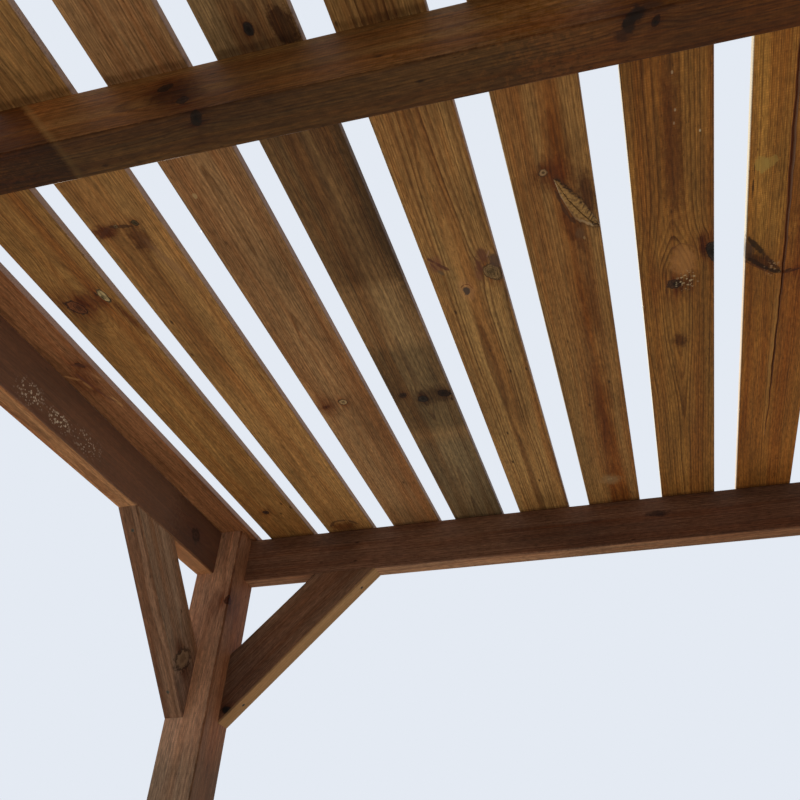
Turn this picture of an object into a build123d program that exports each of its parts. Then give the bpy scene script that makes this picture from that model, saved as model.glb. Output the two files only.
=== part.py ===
from build123d import *
import math
import os

# Wooden pergola, an open frame of squared softwood.
# Four posts carry four edge beams, flush with the posts' outer faces and level with their tops.
# One beam crosses the middle, a knee brace stiffens each end of each edge beam, and flat boards
# lie on the beams with gaps between them.
# X is the width, Y the depth, the way the roof boards run, and Z is up.
# The origin is on the ground, in the middle of the four posts.

# Overall size in millimetres
pergola_width = 3000.0
pergola_depth = 2960.0
post_height = 2400.0

# Timber sections
post_side = 120.0
beam_thickness = 55.0
beam_height = 130.0
mid_beam_thickness = 67.0
brace_thickness = 55.0
brace_height = 130.0
board_width = 140.0
board_thickness = 16.0

# Knee brace: from the corner of post and beam to the brace's toe, on either of them
brace_leg = 405.0

# Roof boards: the gap aimed at, and how far each board was laid off its even place
board_gap = 52.0
laying_offsets = (0.0, -8.0, -12.0, -2.0, -6.0, -7.0, -1.0, 8.0, 13.0, 9.0, 3.0, -4.0, 5.0, -6.0, 4.0)

# Radius of the eased arrises
post_arris = 5.0
beam_arris = 4.0
brace_arris = 4.0
board_arris = 2.5

# Lines that several pieces share
half_width = pergola_width / 2
half_depth = pergola_depth / 2
beam_underside = post_height - beam_height
corners = (("back_left", -1, 1), ("back_right", 1, 1), ("front_left", -1, -1), ("front_right", 1, -1))


# A squared timber, centred on its own middle, with the arrises along its run eased
def timber(width, depth, height, run, arris):
    block = Box(width, depth, height)
    return fillet(block.edges().filter_by(run), arris)


# A post stands in its corner, its top level with the beams
def post(x_side, y_side):
    piece = timber(post_side, post_side, post_height, Axis.Z, post_arris)
    x = x_side * (half_width - post_side / 2)
    y = y_side * (half_depth - post_side / 2)
    return Pos(x, y, post_height / 2) * piece


# The front or back beam spans between two posts, flush with their outer faces
def cross_beam(y_side):
    length = pergola_width - 2 * post_side
    piece = timber(length, beam_thickness, beam_height, Axis.X, beam_arris)
    y = y_side * (half_depth - beam_thickness / 2)
    return Pos(0, y, post_height - beam_height / 2) * piece


# The left or right beam does the same the other way
def side_beam(x_side):
    length = pergola_depth - 2 * post_side
    piece = timber(beam_thickness, length, beam_height, Axis.Y, beam_arris)
    x = x_side * (half_width - beam_thickness / 2)
    return Pos(x, 0, post_height - beam_height / 2) * piece


# The middle beam is as high as the edge beams and butts against the inner faces of the side beams
def mid_beam():
    length = pergola_width - 2 * beam_thickness
    piece = timber(length, mid_beam_thickness, beam_height, Axis.X, beam_arris)
    return Pos(0, 0, post_height - beam_height / 2) * piece


# A knee brace at 45 degrees, with the corner of post and beam at the origin.
# It leaves the post along +X and its ends are cut to lie flat on the post and on the beam.
def knee_brace():
    inner_leg = brace_leg - brace_height * math.sqrt(2)
    outline = Polyline((brace_leg, 0), (0, -brace_leg), (0, -inner_leg), (inner_leg, 0), close=True)
    piece = extrude(make_face(Plane.XZ * outline), amount=brace_thickness / 2, both=True)
    along = Axis((0, 0, 0), (1, 0, 1))
    return fillet(piece.edges().filter_by(along), brace_arris)


# A brace under the front or back beam, flush with its outer face
def cross_brace(x_side, y_side):
    x = x_side * (half_width - post_side)
    y = y_side * (half_depth - brace_thickness / 2)
    turn = 0 if x_side < 0 else 180
    return Pos(x, y, beam_underside) * Rot(0, 0, turn) * knee_brace()


# A brace under the left or right beam, flush with its outer face
def side_brace(x_side, y_side):
    x = x_side * (half_width - brace_thickness / 2)
    y = y_side * (half_depth - post_side)
    return Pos(x, y, beam_underside) * Rot(0, 0, -90 * y_side) * knee_brace()


# The outer boards are flush with the outer faces of the side beams, the others share the room
def roof_boards():
    room = pergola_width - board_width
    steps = round(room / (board_width + board_gap))
    pitch = room / steps
    boards = []
    for number in range(steps + 1):
        outermost = number in (0, steps)
        offset = 0 if outermost else laying_offsets[number % len(laying_offsets)]
        piece = timber(board_width, pergola_depth, board_thickness, Axis.Y, board_arris)
        x = board_width / 2 - half_width + number * pitch + offset
        boards.append(Pos(x, 0, post_height + board_thickness / 2) * piece)
    return boards


def all_pieces():
    pieces = {}
    for corner, x_side, y_side in corners:
        pieces["post_" + corner] = post(x_side, y_side)
        pieces["cross_brace_" + corner] = cross_brace(x_side, y_side)
        pieces["side_brace_" + corner] = side_brace(x_side, y_side)
    for name, y_side in (("back_beam", 1), ("front_beam", -1)):
        pieces[name] = cross_beam(y_side)
    for name, x_side in (("left_beam", -1), ("right_beam", 1)):
        pieces[name] = side_beam(x_side)
    pieces["mid_beam"] = mid_beam()
    for number, board in enumerate(roof_boards(), start=1):
        pieces["roof_board_" + str(number).zfill(2)] = board
    return pieces


os.makedirs("parts", exist_ok=True)
for name, piece in all_pieces().items():
    export_step(piece, "parts/" + name + ".step")
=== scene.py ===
import bmesh
import bpy
import math
import random
from mathutils import Euler, Matrix, Vector, noise


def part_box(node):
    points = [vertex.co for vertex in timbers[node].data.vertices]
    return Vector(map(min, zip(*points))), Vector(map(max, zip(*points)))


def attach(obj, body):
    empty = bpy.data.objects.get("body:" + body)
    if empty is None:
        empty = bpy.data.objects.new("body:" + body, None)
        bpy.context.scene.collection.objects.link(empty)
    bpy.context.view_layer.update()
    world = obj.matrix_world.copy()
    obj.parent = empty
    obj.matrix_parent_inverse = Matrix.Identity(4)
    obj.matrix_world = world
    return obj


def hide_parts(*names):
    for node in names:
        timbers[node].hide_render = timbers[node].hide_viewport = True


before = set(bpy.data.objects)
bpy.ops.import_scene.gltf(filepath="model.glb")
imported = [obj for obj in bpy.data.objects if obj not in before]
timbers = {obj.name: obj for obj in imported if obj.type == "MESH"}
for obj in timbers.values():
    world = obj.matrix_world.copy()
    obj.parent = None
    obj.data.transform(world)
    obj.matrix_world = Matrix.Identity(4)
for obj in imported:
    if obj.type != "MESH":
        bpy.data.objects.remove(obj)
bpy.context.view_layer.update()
scene = bpy.context.scene
print("frame loaded,", len(timbers), "timbers")


# sRGB hex to the linear colour that the shaders take
def linear(hexText):
    parts = [int(hexText[i:i + 2], 16) / 255 for i in (1, 3, 5)]
    return [p / 12.92 if p <= 0.04045 else ((p + 0.055) / 1.055) ** 2.4 for p in parts] + [1.0]


# the scale of a pattern whose size is in millimetres, because object coordinates are in metres
def perMetre(millimetres):
    return [1000 / size for size in millimetres]


# adds one node: its settings, then its inputs as links or values
def addNode(tree, kind, inputs=None, **settings):
    node = tree.nodes.new(kind)
    for name, value in settings.items():
        setattr(node, name, value)
    for name, value in (inputs or {}).items():
        if isinstance(value, bpy.types.Node):
            value = value.outputs[0]
        if isinstance(value, bpy.types.NodeSocket):
            tree.links.new(value, node.inputs[name])
        else:
            node.inputs[name].default_value = value
    return node


# an empty node group, its sockets listed under their types
def newGroup(name, takes, gives, kind="ShaderNodeTree"):
    tree = bpy.data.node_groups.new(name, kind)
    for way, sockets in (("INPUT", takes), ("OUTPUT", gives)):
        for socket, labels in sockets.items():
            for label in labels:
                tree.interface.new_socket(label, in_out=way, socket_type="NodeSocket" + socket)
    return tree, addNode(tree, "NodeGroupInput").outputs


# a material with an empty node tree
def newMaterial(name):
    material = bpy.data.materials.new(name)
    material.use_nodes = True
    material.node_tree.nodes.clear()
    return material, material.node_tree


# an object with this data, in the scene
def newObject(name, data):
    made = bpy.data.objects.new(name, data)
    scene.collection.objects.link(made)
    return made


# a piece's modifiers, applied to its mesh
def applyModifiers(piece):
    graph = bpy.context.evaluated_depsgraph_get()
    mesh = bpy.data.meshes.new_from_object(piece.evaluated_get(graph))
    piece.modifiers.clear()
    piece.data = mesh


# The log that a timber was sawn from: growth rings around a pith that leans and wanders.
# Patterns are in millimetres, along and across the grain: the pith bends every 625, the rings ripple,
# the borders of knots and marks are ragged by the width of a few rings, and stain runs with the grain.
logWander = {"bend": 625, "sideways": 0.011, "rippleRings": 0.9, "ripple": (416.7, 55.56, 55.56),
             "unevenRings": 1.8, "unevenPerRing": 0.3, "ragged": 10.5, "smear": (71, 9.1, 9.1)}


def makePineLog():
    tree, given = newGroup("pineLog", {"Vector": ("Position", "Pith", "Lean"), "Float": ("Ring", "Seed")},
                           {"Vector": ("Log",), "Float": ("Age", "Radius", "Rough", "Smear")})
    along = addNode(tree, "ShaderNodeSeparateXYZ", {0: given["Position"]})
    walk = addNode(tree, "ShaderNodeMath", {0: along, 1: 1000 / logWander["bend"], 2: given["Seed"]},
                   operation="MULTIPLY_ADD")
    sway = addNode(tree, "ShaderNodeTexNoise", {"W": walk, "Scale": 1.0, "Detail": 1.0},
                   noise_dimensions="1D").outputs["Color"]
    sway = addNode(tree, "ShaderNodeVectorMath", {0: sway, 1: (0.5, 0.5, 0.5)}, operation="SUBTRACT")
    sway = addNode(tree, "ShaderNodeVectorMath",
                   {0: sway, 1: (0.0, logWander["sideways"], logWander["sideways"])},
                   operation="MULTIPLY")
    lean = addNode(tree, "ShaderNodeVectorMath", {0: given["Lean"], "Scale": along}, operation="SCALE")
    pith = addNode(tree, "ShaderNodeVectorMath", {0: given["Pith"], 1: lean}, operation="ADD")
    pith = addNode(tree, "ShaderNodeVectorMath", {0: pith, 1: sway}, operation="ADD")
    log = addNode(tree, "ShaderNodeVectorMath", {0: given["Position"], 1: pith}, operation="SUBTRACT")
    across = addNode(tree, "ShaderNodeVectorMath", {0: log, 1: (0.0, 1.0, 1.0)}, operation="MULTIPLY")
    radius = addNode(tree, "ShaderNodeVectorMath", {0: across}, operation="LENGTH").outputs["Value"]
    rings = addNode(tree, "ShaderNodeMath", {0: radius, 1: given["Ring"]}, operation="DIVIDE")
    shifted = addNode(tree, "ShaderNodeVectorMath", {0: log, 1: given["Seed"]}, operation="ADD")
    shifted = addNode(tree, "ShaderNodeVectorMath", {0: shifted, 1: perMetre(logWander["ripple"])},
                      operation="MULTIPLY")
    ripple = addNode(tree, "ShaderNodeTexNoise", {"Vector": shifted, "Scale": 1.0, "Detail": 2.0})
    ripple = addNode(tree, "ShaderNodeMath", {0: ripple, 1: 0.5}, operation="SUBTRACT")
    step = addNode(tree, "ShaderNodeMath", {0: rings, 1: logWander["unevenPerRing"], 2: given["Seed"]},
                   operation="MULTIPLY_ADD")
    uneven = addNode(tree, "ShaderNodeTexNoise", {"W": step, "Scale": 1.0, "Detail": 0.0},
                     noise_dimensions="1D")
    uneven = addNode(tree, "ShaderNodeMath", {0: uneven, 1: 0.5}, operation="SUBTRACT")
    age = addNode(tree, "ShaderNodeMath", {0: ripple, 1: logWander["rippleRings"], 2: rings},
                  operation="MULTIPLY_ADD")
    age = addNode(tree, "ShaderNodeMath", {0: uneven, 1: logWander["unevenRings"], 2: age},
                  operation="MULTIPLY_ADD")
    rough = addNode(tree, "ShaderNodeTexNoise", {"Vector": log, "Scale": 1000 / logWander["ragged"],
                                                 "Detail": 3.0, "Roughness": 0.7})
    smear = addNode(tree, "ShaderNodeVectorMath", {0: log, 1: perMetre(logWander["smear"])},
                    operation="MULTIPLY")
    smear = addNode(tree, "ShaderNodeTexNoise", {"Vector": smear, "Scale": 1.0, "Detail": 2.0,
                                                 "Roughness": 0.65})
    addNode(tree, "NodeGroupOutput",
            {"Age": age, "Log": log, "Radius": radius, "Rough": rough, "Smear": smear})
    return tree


# One branch in the log: its own rings, the trunk's rings flowing round it, a bark rim and a stain
branchLook = {"ragged": 0.9, "flowRings": 1.1, "haloReach": 2.8, "stainReach": 2.2, "grainPull": 0.42,
              "rimShare": 0.17, "branchRings": 26.0}


def makeBranchKnot():
    tree, given = newGroup("branchKnot",
                           {"Vector": ("Log", "Start", "Direction"), "Color": ("Ink", "Paint"),
                            "Float": ("Age", "Rough", "Smear", "Taper", "Ring", "Reach", "Trail", "Rim",
                                      "Swell", "Mask", "Bark", "Halo")},
                           {"Color": ("Paint",), "Float": ("Age", "Mask", "Bark", "Halo")})
    reach = addNode(tree, "ShaderNodeVectorMath", {0: given["Log"], 1: given["Start"]},
                    operation="SUBTRACT")
    out = addNode(tree, "ShaderNodeVectorMath", {0: reach, 1: given["Direction"]},
                  operation="DOT_PRODUCT").outputs["Value"]
    axis = addNode(tree, "ShaderNodeVectorMath", {0: given["Direction"], "Scale": out}, operation="SCALE")
    off = addNode(tree, "ShaderNodeVectorMath", {0: reach, 1: axis}, operation="SUBTRACT")
    distance = addNode(tree, "ShaderNodeVectorMath", {0: off}, operation="LENGTH").outputs["Value"]
    rough = addNode(tree, "ShaderNodeMath",
                    {0: given["Rough"], 1: branchLook["ragged"], 2: 1 - branchLook["ragged"] / 2},
                    operation="MULTIPLY_ADD")
    ragged = addNode(tree, "ShaderNodeMath", {0: distance, 1: rough}, operation="MULTIPLY")
    branchAge = addNode(tree, "ShaderNodeMath", {0: ragged, 1: given["Taper"]}, operation="MULTIPLY")
    branchAge = addNode(tree, "ShaderNodeMath", {0: branchAge, 1: given["Ring"]}, operation="DIVIDE")
    behind = addNode(tree, "ShaderNodeMapRange",
                     {"Value": out, "From Min": 0.0, "From Max": -0.01, "To Min": 0.0, "To Max": 60.0})
    branchAge = addNode(tree, "ShaderNodeMath", {0: branchAge, 1: behind}, operation="ADD")
    front = addNode(tree, "ShaderNodeMapRange", {"Value": out, "From Min": -0.01, "From Max": 0.02})
    # the rings part before the branch and close again after it, more slowly by its trail
    parts = addNode(tree, "ShaderNodeSeparateXYZ", {0: off}).outputs
    after = addNode(tree, "ShaderNodeMath", {0: parts["X"], 1: given["Trail"]}, operation="MULTIPLY")
    before = addNode(tree, "ShaderNodeMath", {0: parts["X"], 1: -branchLook["grainPull"]},
                     operation="MULTIPLY")
    after = addNode(tree, "ShaderNodeMath", {0: after, 1: before}, operation="MAXIMUM")
    near = addNode(tree, "ShaderNodeCombineXYZ", {"X": after, "Y": parts["Y"], "Z": parts["Z"]})
    near = addNode(tree, "ShaderNodeVectorMath", {0: near, 1: near},
                   operation="DOT_PRODUCT").outputs["Value"]
    around = addNode(tree, "ShaderNodeMath", {0: distance, 1: distance}, operation="MULTIPLY")
    halo = {}
    for name, square in (("haloReach", near), ("stainReach", around)):
        size = addNode(tree, "ShaderNodeMath", {0: given["Reach"], 1: branchLook[name]},
                       operation="MULTIPLY")
        size = addNode(tree, "ShaderNodeMath", {0: size, 1: size}, operation="MULTIPLY")
        square = addNode(tree, "ShaderNodeMath", {0: square, 1: size}, operation="DIVIDE")
        square = addNode(tree, "ShaderNodeMath", {0: square, 1: -1.0}, operation="MULTIPLY")
        square = addNode(tree, "ShaderNodeMath", {0: square}, operation="EXPONENT")
        halo[name] = addNode(tree, "ShaderNodeMath", {0: square, 1: front}, operation="MULTIPLY")
    swell = addNode(tree, "ShaderNodeMath", {0: halo["haloReach"], 1: given["Swell"]},
                    operation="MULTIPLY")
    trunkAge = addNode(tree, "ShaderNodeMath", {0: given["Age"], 1: swell}, operation="SUBTRACT")
    age = addNode(tree, "ShaderNodeMath", {0: trunkAge, 1: branchAge, 2: branchLook["flowRings"]},
                  operation="SMOOTH_MIN")
    smear = addNode(tree, "ShaderNodeMapRange",
                    {"Value": given["Smear"], "From Min": 0.3, "From Max": 0.7, "To Min": 0.1,
                     "To Max": 1.4})
    stain = addNode(tree, "ShaderNodeMath", {0: halo["stainReach"], 1: smear}, operation="MULTIPLY")
    # how far out in the branch a point lies: 0 on its axis, 1 at its bark
    share = addNode(tree, "ShaderNodeMath", {0: given["Age"], 1: 0.5}, operation="MAXIMUM")
    share = addNode(tree, "ShaderNodeMath", {0: branchAge, 1: share}, operation="DIVIDE")
    mask = addNode(tree, "ShaderNodeMapRange", {"Value": share, "From Min": 1.25, "From Max": 0.8},
                   interpolation_type="SMOOTHSTEP")
    rim = addNode(tree, "ShaderNodeMath", {0: share, 1: 0.96}, operation="SUBTRACT")
    rim = addNode(tree, "ShaderNodeMath", {0: rim}, operation="ABSOLUTE")
    rim = addNode(tree, "ShaderNodeMapRange",
                  {"Value": rim, "From Min": branchLook["rimShare"], "From Max": 0.0})
    rim = addNode(tree, "ShaderNodeMath", {0: rim, 1: given["Rim"]}, operation="MULTIPLY")
    wave = addNode(tree, "ShaderNodeMath", {0: share, 1: branchLook["branchRings"]}, operation="MULTIPLY")
    wave = addNode(tree, "ShaderNodeMath", {0: wave}, operation="SINE")
    wave = addNode(tree, "ShaderNodeMath", {0: wave, 1: 0.2, 2: 0.9}, operation="MULTIPLY_ADD")
    core = addNode(tree, "ShaderNodeMapRange",
                   {"Value": share, "From Min": 0.05, "From Max": 0.6, "To Min": 0.35, "To Max": 1.0})
    wave = addNode(tree, "ShaderNodeMath", {0: wave, 1: core}, operation="MULTIPLY")
    ink = addNode(tree, "ShaderNodeVectorMath", {0: given["Ink"], "Scale": wave}, operation="SCALE")
    paint = addNode(tree, "ShaderNodeMix", {0: mask, 6: given["Paint"], 7: ink},
                    data_type="RGBA").outputs[2]
    addNode(tree, "NodeGroupOutput", {
        "Age": age, "Paint": paint,
        "Mask": addNode(tree, "ShaderNodeMath", {0: given["Mask"], 1: mask}, operation="MAXIMUM"),
        "Bark": addNode(tree, "ShaderNodeMath", {0: given["Bark"], 1: rim}, operation="MAXIMUM"),
        "Halo": addNode(tree, "ShaderNodeMath", {0: given["Halo"], 1: stain}, operation="MAXIMUM")})
    return tree


# The planed face of the timber: early and late wood, fibres, streaks, heartwood, knots and resin pits.
# Sizes are in millimetres, along and across the grain. Real fibre bundles and torn pores are under
# 0.5 mm wide and wouldn't show, so fibre, mottle, pit and fleck are drawn several times as coarse.
faceLook = {"fibre": (200, 3.7, 3.7), "streak": (1111, 38.46, 38.46), "patch": (333.3, 100, 100),
            "mottle": (18.2, 3.45, 3.45), "pit": (26.3, 10.5, 10.5), "fleck": (10.5, 3.03, 3.03),
            "chatter": 4.8, "roughness": (0.6, 0.78), "specular": 0.3, "index": 1.45, "bump": 0.6,
            "bumpHeight": 0.0008}
# edge is the pale cream of the boards' side faces towards the sun: bleached wood, with painted sunlight;
# shaded is the mauve grey of their other side faces: weathered wood, with painted skylight
woodInks = {"bark": "#2A1C14", "halo": "#B07C54", "pit": "#3A2416", "heart": "#DFBC94", "edge": "#FBEFD2",
            "shaded": "#AE9690"}


def makePineFace():
    tree, given = newGroup("pineFace",
                           {"Vector": ("Position", "Log"), "Color": ("Paint", "Early", "Late", "Warm"),
                            "Float": ("Age", "Radius", "Seed", "Mask", "Bark", "Halo", "EndOn", "EdgeOn",
                                      "Contrast", "Heart", "Streaks", "Patches", "Pits", "Flecks",
                                      "Chatter", "BleachAndSideLight")},
                           {"Color": ("Color",), "Float": ("Roughness", "Height")})
    phase = addNode(tree, "ShaderNodeMath", {0: given["Age"]}, operation="FRACT")
    rise = addNode(tree, "ShaderNodeMapRange", {"Value": phase, "From Min": 0.35, "From Max": 0.88},
                   interpolation_type="SMOOTHSTEP")
    fall = addNode(tree, "ShaderNodeMapRange", {"Value": phase, "From Min": 1.0, "From Max": 0.93})
    late = addNode(tree, "ShaderNodeMath", {0: rise, 1: fall}, operation="MULTIPLY")
    year = addNode(tree, "ShaderNodeMath", {0: given["Age"]}, operation="FLOOR")
    year = addNode(tree, "ShaderNodeMath", {0: year, 1: given["Seed"]}, operation="ADD")
    weather = addNode(tree, "ShaderNodeTexWhiteNoise", {"W": year}, noise_dimensions="1D")
    strength = addNode(tree, "ShaderNodeMapRange", {"Value": weather, "To Min": 0.3, "To Max": 1.0})
    late = addNode(tree, "ShaderNodeMath", {0: late, 1: strength}, operation="MULTIPLY")
    drawn = addNode(tree, "ShaderNodeMath", {0: late, 1: given["Contrast"]}, operation="MULTIPLY")
    colour = addNode(tree, "ShaderNodeMix", {0: drawn, 6: given["Early"], 7: given["Late"]},
                     data_type="RGBA").outputs[2]
    tint = addNode(tree, "ShaderNodeSeparateColor", {0: weather.outputs["Color"]})
    tint = addNode(tree, "ShaderNodeMapRange", {"Value": tint.outputs[1], "To Min": 0.9, "To Max": 1.1})
    colour = addNode(tree, "ShaderNodeVectorMath", {0: colour, "Scale": tint}, operation="SCALE")
    seeded = addNode(tree, "ShaderNodeVectorMath", {0: given["Log"], 1: given["Seed"]}, operation="ADD")
    grain = {}
    for name, detail in (("fibre", 3.0), ("streak", 3.0), ("patch", 3.0), ("mottle", 2.0)):
        place = addNode(tree, "ShaderNodeVectorMath", {0: seeded, 1: perMetre(faceLook[name])},
                        operation="MULTIPLY")
        grain[name] = addNode(tree, "ShaderNodeTexNoise",
                              {"Vector": place, "Scale": 1.0, "Detail": detail, "Roughness": 0.6})
    streak = addNode(tree, "ShaderNodeMapRange",
                     {"Value": grain["streak"], "From Min": 0.42, "From Max": 0.64})
    streak = addNode(tree, "ShaderNodeMath", {0: streak, 1: given["Streaks"]}, operation="MULTIPLY")
    near = addNode(tree, "ShaderNodeMath", {0: grain["patch"], 1: 0.04, 2: -0.02},
                   operation="MULTIPLY_ADD")
    near = addNode(tree, "ShaderNodeMath", {0: near, 1: given["Heart"]}, operation="ADD")
    near = addNode(tree, "ShaderNodeMath", {0: near, 1: given["Radius"]}, operation="SUBTRACT")
    heart = addNode(tree, "ShaderNodeMapRange", {"Value": near, "From Min": -0.006, "From Max": 0.006})
    halo = addNode(tree, "ShaderNodeMath", {0: given["Halo"], 1: 0.9}, operation="MULTIPLY")
    for amount, ink in ((streak, given["Warm"]), (heart, linear(woodInks["heart"])),
                        (halo, linear(woodInks["halo"]))):
        colour = addNode(tree, "ShaderNodeMix", {0: amount, 6: colour, 7: ink}, data_type="RGBA",
                         blend_type="MULTIPLY").outputs[2]
    fibre = addNode(tree, "ShaderNodeMapRange",
                    {"Value": grain["fibre"], "From Min": 0.25, "From Max": 0.75, "To Min": 0.7,
                     "To Max": 1.28})
    mottle = addNode(tree, "ShaderNodeMapRange",
                     {"Value": grain["mottle"], "From Min": 0.32, "From Max": 0.68, "To Min": 0.72,
                      "To Max": 1.28})
    patch = addNode(tree, "ShaderNodeMapRange",
                    {"Value": grain["patch"], "From Min": 0.46, "From Max": 0.72})
    patch = addNode(tree, "ShaderNodeMath", {0: patch, 1: given["Patches"]}, operation="MULTIPLY")
    patch = addNode(tree, "ShaderNodeMath", {0: 1.0, 1: patch}, operation="SUBTRACT")
    # a board's side faces towards the sun are mixed towards a pale cream: wood bleached by the sun, and
    # painted sunlight on it
    bleachAndSideLight = addNode(tree, "ShaderNodeMapRange",
                     {"Value": given["EdgeOn"], "From Min": -0.3, "From Max": -0.75})
    bleachAndSideLight = addNode(tree, "ShaderNodeMath", {0: bleachAndSideLight, 1: given["BleachAndSideLight"]}, operation="MULTIPLY")
    # their side faces turned from the sun are mixed towards a mauve grey: weathered wood, and painted
    # skylight in their shade
    shaded = addNode(tree, "ShaderNodeMapRange",
                     {"Value": given["EdgeOn"], "From Min": 0.3, "From Max": 0.75, "To Max": 0.65})
    shaded = addNode(tree, "ShaderNodeMath", {0: shaded, 1: given["BleachAndSideLight"]}, operation="MULTIPLY")
    ends = addNode(tree, "ShaderNodeMapRange",
                   {"Value": given["EndOn"], "From Min": 0.8, "From Max": 0.95, "To Min": 1.0,
                    "To Max": 0.6})
    for amount in (fibre, mottle, patch, ends):
        colour = addNode(tree, "ShaderNodeVectorMath", {0: colour, "Scale": amount}, operation="SCALE")
    for amount, ink in ((bleachAndSideLight, woodInks["edge"]), (shaded, woodInks["shaded"])):
        colour = addNode(tree, "ShaderNodeMix", {0: amount, 6: colour, 7: linear(ink)},
                         data_type="RGBA").outputs[2]
    # resin canals and torn pores
    dots = []
    for name, share in (("pit", given["Pits"]), ("fleck", given["Flecks"])):
        place = addNode(tree, "ShaderNodeVectorMath", {0: seeded, 1: perMetre(faceLook[name])},
                        operation="MULTIPLY")
        cells = addNode(tree, "ShaderNodeTexVoronoi", {"Vector": place, "Scale": 1.0})
        rare = addNode(tree, "ShaderNodeSeparateColor", {0: cells.outputs["Color"]})
        rare = addNode(tree, "ShaderNodeMath", {0: rare, 1: share}, operation="LESS_THAN")
        dot = addNode(tree, "ShaderNodeMapRange",
                      {"Value": cells.outputs["Distance"], "From Min": 0.36, "From Max": 0.08})
        dots.append(addNode(tree, "ShaderNodeMath", {0: dot, 1: rare}, operation="MULTIPLY"))
    pit = addNode(tree, "ShaderNodeMath", {0: dots[1], 1: 0.6, 2: dots[0]}, operation="MULTIPLY_ADD")
    pit = addNode(tree, "ShaderNodeMath", {0: pit, 1: 0.85}, operation="MINIMUM")
    grey = addNode(tree, "ShaderNodeMapRange",
                   {"Value": grain["mottle"], "From Min": 0.34, "From Max": 0.66, "To Min": 0.6,
                    "To Max": 1.45})
    paint = addNode(tree, "ShaderNodeVectorMath", {0: given["Paint"], "Scale": grey}, operation="SCALE")
    bark = addNode(tree, "ShaderNodeMath", {0: given["Bark"], 1: grey}, operation="MULTIPLY")
    for amount, ink in ((given["Mask"], paint), (bark, linear(woodInks["bark"])),
                        (pit, linear(woodInks["pit"]))):
        colour = addNode(tree, "ShaderNodeMix", {0: amount, 6: colour, 7: ink},
                         data_type="RGBA").outputs[2]
    along = addNode(tree, "ShaderNodeSeparateXYZ", {0: given["Position"]})
    wave = addNode(tree, "ShaderNodeMath", {0: along, 1: math.tau * 1000 / faceLook["chatter"]},
                   operation="MULTIPLY")
    wave = addNode(tree, "ShaderNodeMath", {0: wave}, operation="SINE")
    wave = addNode(tree, "ShaderNodeMath", {0: wave, 1: given["Chatter"]}, operation="MULTIPLY")
    broken = addNode(tree, "ShaderNodeMapRange",
                     {"Value": grain["mottle"], "From Min": 0.4, "From Max": 0.65})
    ridge = addNode(tree, "ShaderNodeMath", {0: wave, 1: broken, 2: 1.0}, operation="MULTIPLY_ADD")
    colour = addNode(tree, "ShaderNodeVectorMath", {0: colour, "Scale": ridge}, operation="SCALE")
    height = addNode(tree, "ShaderNodeMath", {0: grain["mottle"], 1: 0.7, 2: wave},
                     operation="MULTIPLY_ADD")
    height = addNode(tree, "ShaderNodeMath", {0: grain["fibre"], 1: 0.8, 2: height},
                     operation="MULTIPLY_ADD")
    rough = addNode(tree, "ShaderNodeMapRange",
                    {"Value": grain["fibre"], "From Min": 0.3, "From Max": 0.7,
                     "To Min": faceLook["roughness"][0], "To Max": faceLook["roughness"][1]})
    addNode(tree, "NodeGroupOutput", {"Color": colour, "Roughness": rough, "Height": height})
    return tree


# A stain or a scuff: an uneven patch of given half sizes, solid or broken into specks.
# The log's ragged noise, 0 to 1, is added to the distance, so the border lies half of that push further.
raggedPush = 1.5


def makeSmudge():
    tree, given = newGroup("smudge",
                           {"Vector": ("Position", "Centre", "Size"),
                            "Float": ("Turn", "Soft", "Rough", "Grit", "Specks")}, {"Float": ("Mask",)})
    place = addNode(tree, "ShaderNodeVectorMath", {0: given["Position"], 1: given["Centre"]},
                    operation="SUBTRACT")
    place = addNode(tree, "ShaderNodeVectorRotate", {"Vector": place, "Angle": given["Turn"]},
                    rotation_type="Z_AXIS")
    place = addNode(tree, "ShaderNodeVectorMath", {0: place, 1: given["Size"]}, operation="DIVIDE")
    away = addNode(tree, "ShaderNodeVectorMath", {0: place}, operation="LENGTH").outputs["Value"]
    border = 1 + raggedPush / 2
    away = addNode(tree, "ShaderNodeMath", {0: given["Rough"], 1: raggedPush, 2: away},
                   operation="MULTIPLY_ADD")
    inner = addNode(tree, "ShaderNodeMath", {0: given["Soft"], 1: -0.5, 2: border},
                    operation="MULTIPLY_ADD")
    outer = addNode(tree, "ShaderNodeMath", {0: given["Soft"], 1: 0.5, 2: border},
                    operation="MULTIPLY_ADD")
    mask = addNode(tree, "ShaderNodeMapRange", {"Value": away, "From Min": outer, "From Max": inner},
                   interpolation_type="SMOOTHSTEP")
    broken = addNode(tree, "ShaderNodeMath", {0: mask, 1: given["Specks"]}, operation="MULTIPLY")
    mask = addNode(tree, "ShaderNodeMix", {0: given["Grit"], 2: mask, 3: broken})
    addNode(tree, "NodeGroupOutput", {"Mask": mask})
    return tree


# Loose specks in clusters, for a scuff or dried splashes: about 5 mm apart
speckLook = {"apart": 5.26, "clusters": 1.6, "fewest": 1.15}


def makeSpecks():
    tree, given = newGroup("specks", {"Vector": ("Position",), "Float": ("Rough",)},
                           {"Float": ("Specks",)})
    cells = addNode(tree, "ShaderNodeTexVoronoi",
                    {"Vector": given["Position"], "Scale": 1000 / speckLook["apart"]})
    size = addNode(tree, "ShaderNodeSeparateColor", {0: cells.outputs["Color"]})
    size = addNode(tree, "ShaderNodeMath", {0: size, 1: speckLook["fewest"]}, operation="SUBTRACT")
    size = addNode(tree, "ShaderNodeMath", {0: given["Rough"], 1: speckLook["clusters"], 2: size},
                   operation="MULTIPLY_ADD")
    size = addNode(tree, "ShaderNodeMath", {0: size, 1: cells.outputs["Distance"]}, operation="SUBTRACT")
    specks = addNode(tree, "ShaderNodeMapRange", {"Value": size, "From Min": -0.1, "From Max": 0.1})
    addNode(tree, "NodeGroupOutput", {"Specks": specks})
    return tree


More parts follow.
